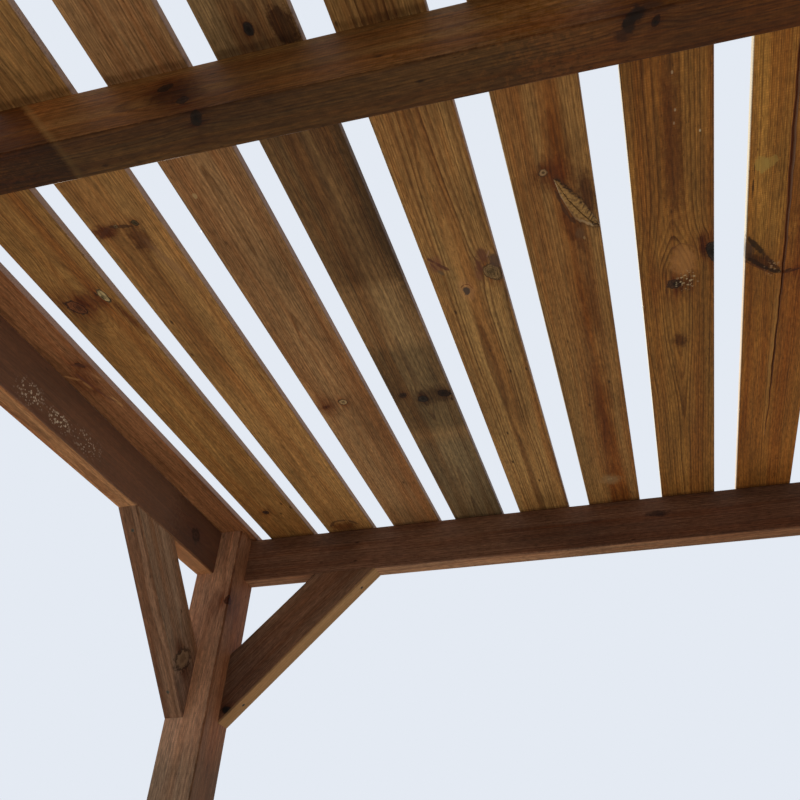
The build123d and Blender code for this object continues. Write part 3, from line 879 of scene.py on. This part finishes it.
def woodOf(name, seed):
    draw = random.Random(seed)
    kind = next(kind for kind in timberReach if kind in name)
    half, thick, reach = timberReach[kind]
    wood = dict(baseWood, seed=3.7 * seed + 1.3, early=draw.choice(woodDraws["tints"]),
                pith=(draw.uniform(*woodDraws["pithAcross"]), draw.uniform(*woodDraws["pithThrough"])),
                ring=draw.uniform(*woodDraws["ring"]), contrast=draw.uniform(*woodDraws["contrast"]))
    known = beamWood.get(name, {})
    if kind == "roof_board":
        known = boardWood.get(int(name[-2:]), {})
        # a board's side faces get bleached wood with painted sunlight on the sun side, and painted
        # skylight on the other
        wood["bleachAndSideLight"] = 1.0
    wood.update(known)
    span = known.get("unseen", (-reach, -0.3 if known else reach))
    pith, lean = Vector((0, *wood["pith"])), Vector((0, *wood["lean"]))
    for knot in unseenKnots(draw, *span, half, thick):
        branch = Vector(knot["at"]) - pith - lean * knot["at"][0]
        if branch.yz.length > shortestBranch * knot["radius"]:
            wood["knots"] = wood["knots"] + [knot]
    if kind == "roof_board":
        wood["marks"] = wood["marks"] + grimeAndShade
    return wood


materials = {}
for number, name in enumerate(sorted(timbers)):
    materials[name] = pineTimber(name, woodOf(name, number))
    timbers[name].data.materials.clear()
    timbers[name].data.materials.append(materials[name])
print("timber materials made")


# radius of a board's eased arrises, as in the frame
boardArris = 0.0025
# faces that meet at more than this angle meet at a sharp edge
sharpFrom = math.radians(35)


# A board carved on its underside: rows of points round its section, joined along its length.
# A corner has its place, the way into the timber from it, and the angles of the points on its arris.
def carvedBoard(name, stations, columnsAt, carve):
    low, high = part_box(name)
    middle = (low.x + high.x) / 2
    points, faces, marks = [], [], {"pocket": [], "lip": [], "crack": []}
    corners = ((high.x, low.z, 1, 1, (-60, -30, 0)), (high.x, high.z, 1, -1, (0, 30, 60, 90)),
               (low.x, high.z, -1, -1, (90, 120, 150, 180)), (low.x, low.z, -1, 1, (180, 210, 240)))
    for y in stations:
        row = [((middle + x, y), carve(y, x)) for x in columnsAt(y)]
        for (x, y), carved in row:
            points.append((x, y, low.z + carved["depth"]))
            for label in marks:
                marks[label].append(carved.get(label, 0.0))
        for x, z, inward, upward, turns in corners:
            for turn in turns:
                angle = math.radians(turn)
                points.append((x - inward * boardArris + boardArris * math.cos(angle), y,
                               z + upward * boardArris + boardArris * math.sin(angle)))
                for label in marks:
                    marks[label].append(0.0)
    around = len(points) // len(stations)
    for row in range(len(stations) - 1):
        for step in range(around):
            a, b = row * around + step, row * around + (step + 1) % around
            faces.append((a, b, b + around, a + around))
    faces += [tuple(range(around)), tuple(range(len(points) - around, len(points)))]
    mesh = bpy.data.meshes.new(name + "_carved")
    mesh.from_pydata(points, [], faces)
    for label, values in marks.items():
        mesh.attributes.new(label, "FLOAT", "POINT").data.foreach_set("value", values)
    shape = bmesh.new()
    shape.from_mesh(mesh)
    bmesh.ops.recalc_face_normals(shape, faces=shape.faces)
    shape.to_mesh(mesh)
    shape.free()
    mesh.shade_smooth()
    mesh.set_sharp_from_angle(angle=sharpFrom)
    mesh.materials.append(materials[name])
    return newObject(name + "_carved", mesh)


# evenly spaced places, without the last
def spread(start, end, step):
    count = max(1, round((end - start) / step))
    return [start + (end - start) * i / count for i in range(count)]


# The board that has split along its pith: one long drying crack, wide at first and then narrow.
# Its route is given as (along, across) places, and it closes over a length at each end.
crackSettings = {"route": ((-0.35, 0.001), (0.144, -0.002), (0.557, 0.0015), (1.031, -0.003),
                           (1.18, -0.007)),
                 "halfWidth": (0.0040, 0.0021), "narrows": (0.5, 0.15), "depth": 0.0065, "step": 0.012,
                 "wiggle": 0.0008, "lipFrom": 0.6, "closes": (0.1, 0.3)}


def crackedBoard(name, size):
    low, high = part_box(name)
    half = (high.x - low.x) / 2 - boardArris
    route = size["route"]

    def middleOf(y):
        y = min(max(y, route[0][0]), route[-1][0])
        for (startY, startX), (endY, endX) in zip(route, route[1:]):
            if y <= endY:
                share = (y - startY) / (endY - startY)
                eased = share * share * (3 - 2 * share)
                wiggle = math.sin(y * 61) * 0.6 + math.sin(y * 143 + 1) * 0.4
                return startX + (endX - startX) * eased + size["wiggle"] * wiggle

    def openness(y):
        ends = min((y - route[0][0]) / size["closes"][0], (route[-1][0] - y) / size["closes"][1])
        return max(0.0, min(1.0, ends)) ** 0.7 * (0.85 + 0.15 * math.sin(y * 23))

    def widthOf(y):
        wide, narrow = size["halfWidth"]
        start, length = size["narrows"]
        share = min(1.0, max(0.0, (y - start) / length))
        return max((wide + (narrow - wide) * share) * openness(y), 0.0001)

    # columns of points lie close together over the crack and its lip
    def columnsAt(y):
        width = widthOf(y)
        around = (-0.012, -width - 0.0035, -width - 0.001, -width, 0.0, width, width + 0.0015, 0.014)
        return [-half, -0.04, -0.02] + [middleOf(y) + offset for offset in around] + [0.04, half]

    def carve(y, x):
        offset = x - middleOf(y)
        if abs(offset) < 1e-6:
            return {"depth": size["depth"] * openness(y), "crack": min(1.0, openness(y) * 4)}
        if abs(abs(offset) - widthOf(y)) < 1e-6:
            return {"depth": 0.0, "crack": 0.8 * min(1.0, openness(y) * 4)}
        if -0.005 < offset + widthOf(y) < -0.0005:
            paler = min(1.0, max(0.0, (y - size["lipFrom"]) * 8)) * openness(y)
            return {"depth": 0.0, "lip": 0.5 * paler}
        return {"depth": 0.0}

    rows = spread(low.y, route[0][0], 0.2) + spread(route[0][0], route[-1][0], size["step"])
    rows += spread(route[-1][0], high.y, 0.1) + [high.y]
    return carvedBoard(name, rows, columnsAt, carve)


# The board with a bark pocket: a shallow lens of torn fibres between two slanting borders, given as
# (across, along) places, with a pale lip on one side, whose near-white parts are a painted highlight,
# a dark split that ends in a small loop, and painted shadow just outside its borders.
# Raggedness is given as its amount, its scale and the seed of its noise.
pocketSettings = {
    "far": ((0.0026, 0.2975), (0.0046, 0.3114), (0.0096, 0.3420), (0.0166, 0.3645), (0.0218, 0.3812),
            (0.0272, 0.3962), (0.0323, 0.4033), (0.0425, 0.4105), (0.0581, 0.4215), (0.0675, 0.4225)),
    "near": ((0.0026, 0.2974), (0.0080, 0.3020), (0.0179, 0.3125), (0.0239, 0.3211), (0.0334, 0.3363),
             (0.0421, 0.3490), (0.0476, 0.3625), (0.0558, 0.3800), (0.0613, 0.3970), (0.0675, 0.4150)),
    "split": ((0.0026, 0.2975), (0.0060, 0.3091), (0.0133, 0.3306), (0.0212, 0.3522), (0.0307, 0.3697),
              (0.0403, 0.3875), (0.0566, 0.4129), (0.0675, 0.4215)),
    "lip": ((0.0026, 0.4), (0.0070, 1.0), (0.0130, 0.9), (0.0190, 0.45), (0.0300, 0.45), (0.0360, 0.9),
            (0.0560, 1.0), (0.0600, 0.3), (0.0675, 0.0)),
    "lipWidth": 0.0075, "depth": 0.0022, "splitDepth": 0.003, "splitHalf": 0.0016, "fine": 0.0010,
    "loop": (0.4139, 0.0610, 0.0044), "loopHalf": 0.0012, "thinnest": 0.0006, "length": 0.065,
    "rows": (0.29, 0.435), "fineRows": (0.288, 0.436), "raggedFar": (0.0022, 260, 8.3),
    "raggedNear": (0.0050, 210, 1.7), "tornNear": (0.003, 600, 4.1), "raggedSplit": (0.0012, 300, 5.1),
    "raggedRim": (0.6, 400, 2.2)}


# a curve's value at a place, in straight lines between its points
def valueAt(curve, place):
    place = min(max(place, curve[0][0]), curve[-1][0])
    for (start, low), (end, high) in zip(curve, curve[1:]):
        if place <= end:
            return low + (high - low) * (place - start) / (end - start)


def pocketBoard(name, size):
    low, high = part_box(name)
    half = (high.x - low.x) / 2 - boardArris

    def ragged(kind, x, y=0.0):
        amount, scale, seed = size[kind]
        return amount * noise.noise(Vector((x * scale, y * scale, seed)))

    def carve(y, x):
        if not (size["near"][0][0] < x and size["rows"][0] < y < size["rows"][1]):
            return {"depth": 0.0}
        far = valueAt(size["far"], x) + ragged("raggedFar", x)
        near = valueAt(size["near"], x) + ragged("raggedNear", x) + ragged("tornNear", x)
        width = far - near
        if width < size["thinnest"]:
            return {"depth": 0.0, "crack": 0.5 if near - 0.001 < y < far + 0.001 else 0.0}
        share = (y - near) / width
        if not 0 < share < 1:
            # just outside its borders the wood is darkened with painted shadow, wider beyond the near
            # border
            outside = (y - far) if share >= 1 else (near - y) * 0.6
            rim = math.exp(-outside / 0.0030) * (0.85 + ragged("raggedRim", x, y))
            return {"depth": 0.0, "crack": max(0.0, min(1.0, 0.9 * rim))}
        inside = min(1.0, 5 * share, 5 * (1 - share))
        along = (x - size["near"][0][0]) / size["length"]
        splitAt = abs(y - valueAt(size["split"], x) - ragged("raggedSplit", x))
        split = math.exp(-(splitAt / size["splitHalf"]) ** 2) * min(1.0, 0.35 + along * 2)
        past = y > valueAt(size["split"], x)
        # the lip is pale torn fibres, and its near-white parts along the far border are a painted
        # highlight
        lip = max(0.0, 1 - (far - y) / size["lipWidth"]) ** 0.5 * valueAt(size["lip"], x) if past else 0.0
        # torn fibres lie along run, at a slant to the grain
        run = (y + 2.0 * x) / 2.24
        cross = (2.0 * y - x) / 2.24
        hatch = noise.noise(Vector((run * 520, cross * 90, 3.3)))
        shred = noise.noise(Vector((run * 200, cross * 230, 6.1)))
        dark = max(0.0, 1.0 - share * 2.6) * max(0.0, 1.3 - along * 1.2) * (1.0 + 1.5 * shred)
        strokes = max(0.0, hatch * 3.5 - 0.1) * max(0.0, min(1.0, along * 2.5 - 0.7)) * (1.1 - share)
        loop = math.hypot(y - size["loop"][0], (x - size["loop"][1])) - size["loop"][2]
        ring = math.exp(-(loop / size["loopHalf"]) ** 2)
        murk = max(0.0, 0.22 + 0.7 * shred) if loop > 0 else 0.4
        depth = size["depth"] * inside * (0.4 if past else 0.8 + 0.4 * shred)
        return {"depth": max(0.0, depth + size["splitDepth"] * split), "pocket": inside * 0.9,
                "lip": lip * inside * (0.9 + 0.3 * shred),
                "crack": max(0.0, min(1.0, max(split, ring, dark, strokes, murk * (1 - lip))))}

    fineX = spread(-0.004, half, size["fine"]) + [half]
    columns = [-half, -0.05, -0.03] + fineX
    start, end = size["fineRows"]
    fineY = spread(start, end, size["fine"])
    rows = spread(low.y, start, 0.2) + fineY + spread(end, high.y, 0.2) + [high.y]
    return carvedBoard(name, rows, lambda y: columns, carve)


newTimbers = {"roof_board_09": crackedBoard("roof_board_09", crackSettings),
              "roof_board_07": pocketBoard("roof_board_07", pocketSettings)}
print("carved boards made")


# Screws with a star recess: two where a board crosses a beam and at each end of a beam, and one at each
# end of a brace. Their places are given from the board's middle, along the brace and down from the top.
screwSettings = {"Head Diameter": 0.0088, "Head Height": 0.003, "Sunk": 0.0003, "Recess Width": 0.0046,
                 "Recess Depth": 0.0016}
screwPlaces = {"acrossBoard": 0.045, "stray": 0.004, "braceEnds": (0.223, -0.214),
               "underTop": (0.03, 0.1), "outerFaces": (1.5, 1.48), "seed": 11, "turnSeed": 5}


def makeScrewTree(material):
    tree, given = newGroup("screwHeads",
                           {"Geometry": ("Geometry",), "Float": tuple(screwSettings), "Int": ("Seed",)},
                           {"Geometry": ("Geometry",)}, kind="GeometryNodeTree")
    radius = addNode(tree, "ShaderNodeMath", {0: given["Head Diameter"], 1: 0.5}, operation="MULTIPLY")
    head = addNode(tree, "GeometryNodeMeshCylinder",
                   {"Vertices": 20, "Radius": radius, "Depth": given["Head Height"]})
    sink = addNode(tree, "ShaderNodeMath", {0: given["Head Height"], 1: 0.5, 2: given["Sunk"]},
                   operation="MULTIPLY_ADD")
    sink = addNode(tree, "ShaderNodeMath", {0: sink, 1: -1.0}, operation="MULTIPLY")
    sink = addNode(tree, "ShaderNodeCombineXYZ", {"Z": sink})
    head = addNode(tree, "GeometryNodeTransform", {"Geometry": head, "Translation": sink})
    outer = addNode(tree, "ShaderNodeMath", {0: given["Recess Width"], 1: 0.5}, operation="MULTIPLY")
    inner = addNode(tree, "ShaderNodeMath", {0: given["Recess Width"], 1: 0.36}, operation="MULTIPLY")
    star = addNode(tree, "GeometryNodeCurveStar",
                   {"Points": 6, "Inner Radius": inner, "Outer Radius": outer}).outputs["Curve"]
    star = addNode(tree, "GeometryNodeFillCurve", {"Curve": star})
    lift = addNode(tree, "ShaderNodeMath", {0: given["Recess Depth"], 1: 2.0}, operation="MULTIPLY")
    raised = addNode(tree, "GeometryNodeExtrudeMesh", {"Mesh": star, "Offset Scale": lift,
                                                       "Individual": False}).outputs["Mesh"]
    # an extruded face leaves its base open, so the star itself, turned over, closes it
    base = addNode(tree, "GeometryNodeFlipFaces", {"Mesh": star})
    star = addNode(tree, "GeometryNodeJoinGeometry", {"Geometry": raised})
    tree.links.new(base.outputs["Mesh"], star.inputs["Geometry"])
    star = addNode(tree, "GeometryNodeMergeByDistance", {"Geometry": star, "Distance": 1e-6})
    drop = addNode(tree, "ShaderNodeMath", {0: given["Sunk"], 1: given["Recess Depth"]}, operation="ADD")
    drop = addNode(tree, "ShaderNodeMath", {0: drop, 1: -1.0}, operation="MULTIPLY")
    drop = addNode(tree, "ShaderNodeCombineXYZ", {"Z": drop})
    star = addNode(tree, "GeometryNodeTransform", {"Geometry": star, "Translation": drop})
    head = addNode(tree, "GeometryNodeMeshBoolean", {"Mesh 1": head, "Mesh 2": star},
                   operation="DIFFERENCE").outputs["Mesh"]
    facing = addNode(tree, "GeometryNodeInputNamedAttribute", {"Name": "facing"},
                     data_type="FLOAT_VECTOR").outputs["Attribute"]
    aim = addNode(tree, "FunctionNodeAlignRotationToVector", {"Vector": facing}, axis="Z")
    spin = addNode(tree, "FunctionNodeRandomValue", {"Min": 0.0, "Max": math.tau, "Seed": given["Seed"]},
                   data_type="FLOAT")
    spin = addNode(tree, "FunctionNodeAxisAngleToRotation", {"Axis": (0.0, 0.0, 1.0), "Angle": spin})
    turned = addNode(tree, "FunctionNodeRotateRotation", {"Rotation": aim, "Rotate By": spin},
                     rotation_space="LOCAL")
    heads = addNode(tree, "GeometryNodeInstanceOnPoints",
                    {"Points": given["Geometry"], "Instance": head, "Rotation": turned})
    heads = addNode(tree, "GeometryNodeRealizeInstances", {"Geometry": heads})
    heads = addNode(tree, "GeometryNodeSetMaterial", {"Geometry": heads, "Material": material})
    addNode(tree, "NodeGroupOutput", {"Geometry": heads})
    return tree


# zinc-plated steel, dulled outdoors: a grey metal with a soft sheen, broken every millimetre or so
steelLook = {"bright": "#7E786C", "dull": "#4A443C", "tarnish": 1.1}


def platedSteel():
    material, tree = newMaterial("zincPlatedSteel")
    place = addNode(tree, "ShaderNodeTexCoord").outputs["Object"]
    tarnish = addNode(tree, "ShaderNodeTexNoise",
                      {"Vector": place, "Scale": 1000 / steelLook["tarnish"], "Detail": 3.0})
    colour = addNode(tree, "ShaderNodeMix",
                     {0: tarnish, 6: linear(steelLook["dull"]), 7: linear(steelLook["bright"])},
                     data_type="RGBA").outputs[2]
    rough = addNode(tree, "ShaderNodeMapRange", {"Value": tarnish, "To Min": 0.3, "To Max": 0.6})
    shader = addNode(tree, "ShaderNodeBsdfPrincipled",
                     {"Base Color": colour, "Roughness": rough, "Metallic": 1.0})
    addNode(tree, "ShaderNodeOutputMaterial", {"Surface": shader})
    return material


# Each screw as its timber, its place and the way it faces
def screwPoints():
    draw = random.Random(screwPlaces["seed"])
    places = []
    boxes = {name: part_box(name) for name in timbers}

    def middle(name):
        return (boxes[name][0] + boxes[name][1]) / 2

    for name in sorted(timbers):
        if name.startswith("roof_board"):
            top = boxes[name][1].z
            for beam in ("back_beam", "mid_beam", "front_beam"):
                for side in (-1, 1):
                    x = middle(name).x + side * screwPlaces["acrossBoard"]
                    strayX, strayY = (draw.uniform(-1, 1) * screwPlaces["stray"] for _ in range(2))
                    places.append((name, Vector((x + strayX, middle(beam).y + strayY, top)),
                                   Vector((0, 0, 1))))
        elif "brace" in name:
            centre, axes = timberAxes(name)
            along, width = axes.col[0], axes.col[1]
            reach = max((v.co - centre).dot(-width) for v in timbers[name].data.vertices)
            places += [(name, centre + along * end - width * reach, -width)
                       for end in screwPlaces["braceEnds"]]
    for name in sorted(timbers):
        if name.startswith("post"):
            side = 1 if name.endswith("right") else -1
            depth = 1 if "_back" in name else -1
            cross = "back_beam" if depth > 0 else "front_beam"
            edge = "right_beam" if side > 0 else "left_beam"
            outerX, outerY = screwPlaces["outerFaces"]
            top = boxes[cross][1].z
            for up in screwPlaces["underTop"]:
                places.append((name, Vector((side * outerX, middle(cross).y, top - up)),
                               Vector((side, 0, 0))))
                places.append((name, Vector((middle(edge).x, depth * outerY, top - up)),
                               Vector((0, depth, 0))))
    for side, edge in ((-1, "left_beam"), (1, "right_beam")):
        for up in screwPlaces["underTop"]:
            outer = boxes[edge][0].x if side < 0 else boxes[edge][1].x
            places.append((edge, Vector((outer, 0, boxes[edge][1].z - up)), Vector((side, 0, 0))))
    return places


# The holes that one timber's screws sit in
screwHole = {"radius": 0.0047, "depth": 0.0035, "sides": 20}


def holes(places):
    shape = bmesh.new()
    for _, place, facing in places:
        turn = facing.to_track_quat("Z", "Y").to_matrix().to_4x4()
        bmesh.ops.create_cone(shape, cap_ends=True, segments=screwHole["sides"],
                              radius1=screwHole["radius"], radius2=screwHole["radius"],
                              depth=2 * screwHole["depth"], matrix=Matrix.Translation(place) @ turn)
    mesh = bpy.data.meshes.new("holes")
    shape.to_mesh(mesh)
    shape.free()
    return newObject("holes", mesh)


# A timber with its screw holes stands for the CAD's. Its large faces that are square to it are shaded
# flat, its arrises and the walls of its holes smooth.
flatFaces = {"square": 0.9999, "area": 1e-4}


def drilledTimber(name, places):
    piece = newTimbers.get(name)
    if piece is None:
        shape = bmesh.new()
        shape.from_mesh(timbers[name].data)
        bmesh.ops.remove_doubles(shape, verts=shape.verts, dist=1e-6)
        mesh = bpy.data.meshes.new(name + "_drilled")
        shape.to_mesh(mesh)
        shape.free()
        mesh.materials.clear()
        mesh.materials.append(materials[name])
        piece = newObject(name + "_drilled", mesh)
    cutter = holes(places)
    cut = piece.modifiers.new("holes", "BOOLEAN")
    cut.operation = "DIFFERENCE"
    cut.object = cutter
    applyModifiers(piece)
    bpy.data.objects.remove(cutter)
    if name not in newTimbers:
        mesh = piece.data
        mesh.shade_smooth()
        mesh.set_sharp_from_angle(angle=sharpFrom)
        _, axes = timberAxes(name)
        for face in mesh.polygons:
            square = max(abs(face.normal.dot(axis)) for axis in axes.col) > flatFaces["square"]
            face.use_smooth = not (square and face.area > flatFaces["area"])
    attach(piece, "root")
    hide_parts(name)


def screws():
    places = screwPoints()
    for name in sorted(timbers):
        own = [place for place in places if place[0] == name]
        if own:
            drilledTimber(name, own)
    mesh = bpy.data.meshes.new("screws")
    mesh.from_pydata([place for _, place, _ in places], [], [])
    facings = [value for _, _, facing in places for value in facing]
    mesh.attributes.new("facing", "FLOAT_VECTOR", "POINT").data.foreach_set("vector", facings)
    piece = newObject("screws", mesh)
    tree = makeScrewTree(platedSteel())
    modifier = piece.modifiers.new("heads", "NODES")
    modifier.node_group = tree
    for item in tree.interface.items_tree:
        if item.in_out == "INPUT" and item.name in screwSettings:
            modifier[item.identifier] = screwSettings[item.name]
        elif item.in_out == "INPUT" and item.name == "Seed":
            modifier[item.identifier] = screwPlaces["turnSeed"]
    applyModifiers(piece)
    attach(piece, "root")
    return len(places)


print(screws(), "screws set")


# Plain pale floor, which gives back less light far out than close to the posts
floorSettings = {"radius": 60.0, "sides": 96, "colour": "#E4E2DE", "farBounce": "#8A8884",
                 "lit": (2.5, 6.0)}
floorMesh = bpy.data.meshes.new("floor")
turns = [math.tau * i / floorSettings["sides"] for i in range(floorSettings["sides"])]
ring = [(floorSettings["radius"] * math.cos(turn), floorSettings["radius"] * math.sin(turn), 0.0)
        for turn in turns]
floorMesh.from_pydata(ring, [], [list(range(len(ring)))])
floor = newObject("floor", floorMesh)
paint, tree = newMaterial("matteFloor")
ground = addNode(tree, "ShaderNodeTexCoord").outputs["Object"]
away = addNode(tree, "ShaderNodeVectorMath", {0: ground}, operation="LENGTH").outputs["Value"]
far = addNode(tree, "ShaderNodeMapRange", {"Value": away, "From Min": floorSettings["lit"][0],
                                           "From Max": floorSettings["lit"][1]})
seen = addNode(tree, "ShaderNodeLightPath").outputs["Is Camera Ray"]
bounced = addNode(tree, "ShaderNodeMath", {0: 1.0, 1: seen}, operation="SUBTRACT")
far = addNode(tree, "ShaderNodeMath", {0: far, 1: bounced}, operation="MULTIPLY")
colour = addNode(tree, "ShaderNodeMix",
                 {0: far, 6: linear(floorSettings["colour"]), 7: linear(floorSettings["farBounce"])},
                 data_type="RGBA").outputs[2]
matte = addNode(tree, "ShaderNodeBsdfDiffuse", {"Color": colour})
addNode(tree, "ShaderNodeOutputMaterial", {"Surface": matte})
floorMesh.materials.append(paint)

# Soft light: one broad low lamp from behind the corner, and an even light from all round
light = {"sunFrom": (-0.517, 0.678, 0.522), "sunAngle": 9.0, "sunStrength": 3.2, "sunColour": "#FFF4E2",
         "sky": "#E6ECF6", "skyStrength": 0.3, "backdrop": "#E4EAF3"}
sunLamp = bpy.data.lights.new("softSun", "SUN")
sunLamp.energy = light["sunStrength"]
sunLamp.angle = math.radians(light["sunAngle"])
sunLamp.color = linear(light["sunColour"])[:3]
sun = newObject("softSun", sunLamp)
sun.rotation_euler = Vector(light["sunFrom"]).to_track_quat("Z", "Y").to_euler()

world = bpy.data.worlds.new("paleStudio")
scene.world = world
world.use_nodes = True
sky = world.node_tree
sky.nodes.clear()
ray = addNode(sky, "ShaderNodeLightPath").outputs
seen = addNode(sky, "ShaderNodeMath", {0: ray["Is Camera Ray"], 1: ray["Is Glossy Ray"]},
               operation="MAXIMUM")
seen = addNode(sky, "ShaderNodeMath", {0: seen, 1: ray["Is Transmission Ray"]}, operation="MAXIMUM")
lit = addNode(sky, "ShaderNodeBackground",
              {"Color": linear(light["sky"]), "Strength": light["skyStrength"]})
shown = addNode(sky, "ShaderNodeBackground", {"Color": linear(light["backdrop"]), "Strength": 1.0})
both = addNode(sky, "ShaderNodeMixShader", {0: seen, 1: lit, 2: shown})
addNode(sky, "ShaderNodeOutputWorld", {"Surface": both})

# Camera under the roof, looking up into the back left corner
view = {"place": (-0.2069, -0.6016, 1.2549), "turn": (126.891, -0.705, 13.712), "lens": 36.892,
        "shift": -0.08}
lensData = bpy.data.cameras.new("camera")
lensData.lens = view["lens"]
lensData.sensor_width = 36.0
lensData.shift_x = view["shift"]
lensData.clip_start = 0.02
lensData.dof.use_dof = False
camera = newObject("camera", lensData)
camera.location = view["place"]
camera.rotation_euler = Euler([math.radians(degrees) for degrees in view["turn"]])
scene.camera = camera
scene.view_settings.view_transform = "Standard"
print("light and camera set")

bpy.context.view_layer.update()
